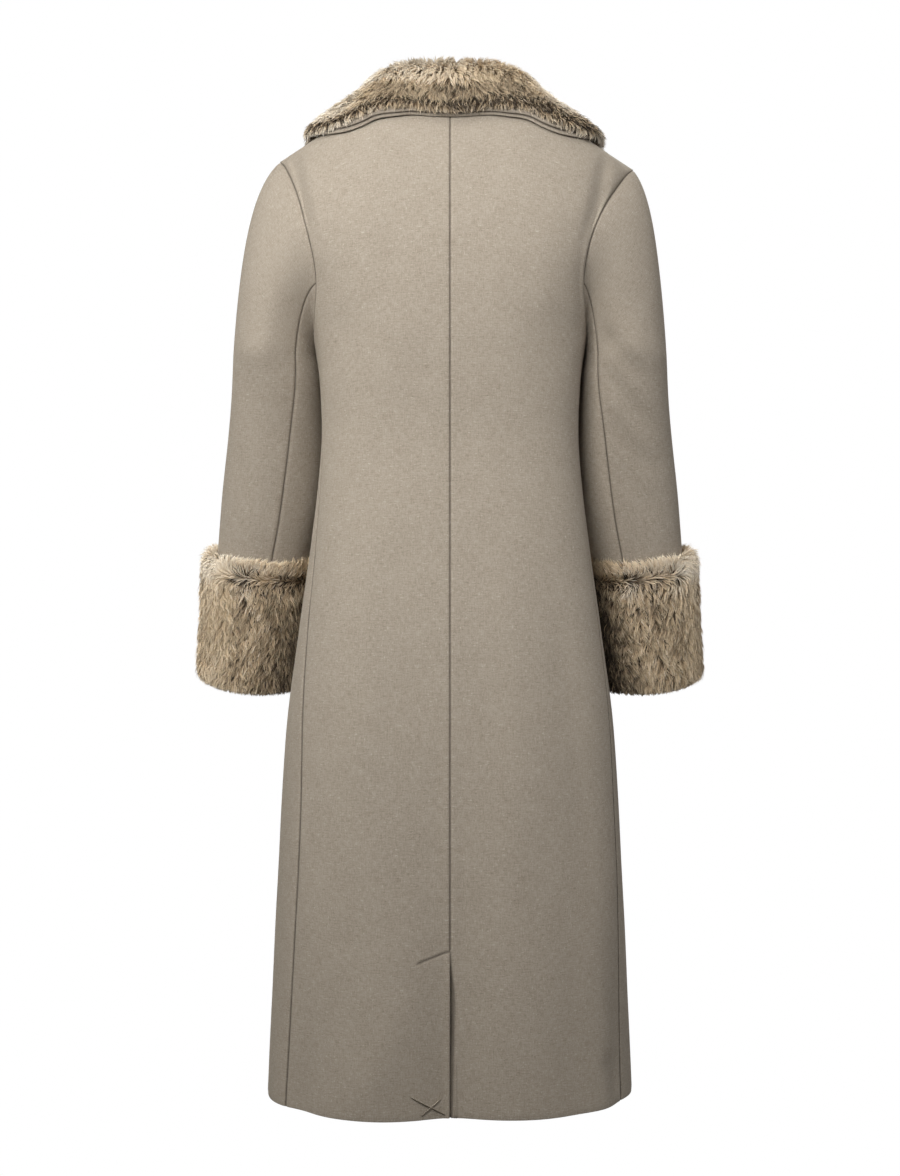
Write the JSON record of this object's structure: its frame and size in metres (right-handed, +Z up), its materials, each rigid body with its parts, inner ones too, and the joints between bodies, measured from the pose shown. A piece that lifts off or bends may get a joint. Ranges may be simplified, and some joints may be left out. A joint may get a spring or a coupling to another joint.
{
  "type": "winter coat",
  "caption": "Long A-line winter coat, filled out as worn, with a wide fur collar over a cloth collar, deep fur cuffs, centre-back seam and vent, two-piece sleeves and a plain buttoned front.",
  "frame": {"origin": "midway between the two side-neck points of the shoulder seams, where the coat hangs on its wearer", "axes": "+Z up along the coat's length, -Y towards the coat's buttoned front, +X towards the wearer's left sleeve"},
  "size_m": [0.644, 0.3549, 1.2177],
  "materials": {
    "coat_cloth": "brushed wool-blend cloth, heathered taupe, matte",
    "fur": "long-pile faux fur, tan with cream tips and dark roots",
    "button": "plain satin horn-coloured resin"
  },
  "bodies": {
    "root": {"back_left": "coat_cloth", "back_right": "coat_cloth", "front_left": "coat_cloth", "front_right": "coat_cloth", "sleeve_left_upper": "coat_cloth", "sleeve_left_under": "coat_cloth", "sleeve_right_upper": "coat_cloth", "sleeve_right_under": "coat_cloth", "collar_under": "coat_cloth", "collar_upper": "coat_cloth", "fur_collar": "fur", "fur_cuff_left": "fur", "fur_cuff_right": "fur", "button_1": "button", "button_2": "button", "button_3": "button"}
  },
  "joints": []
}
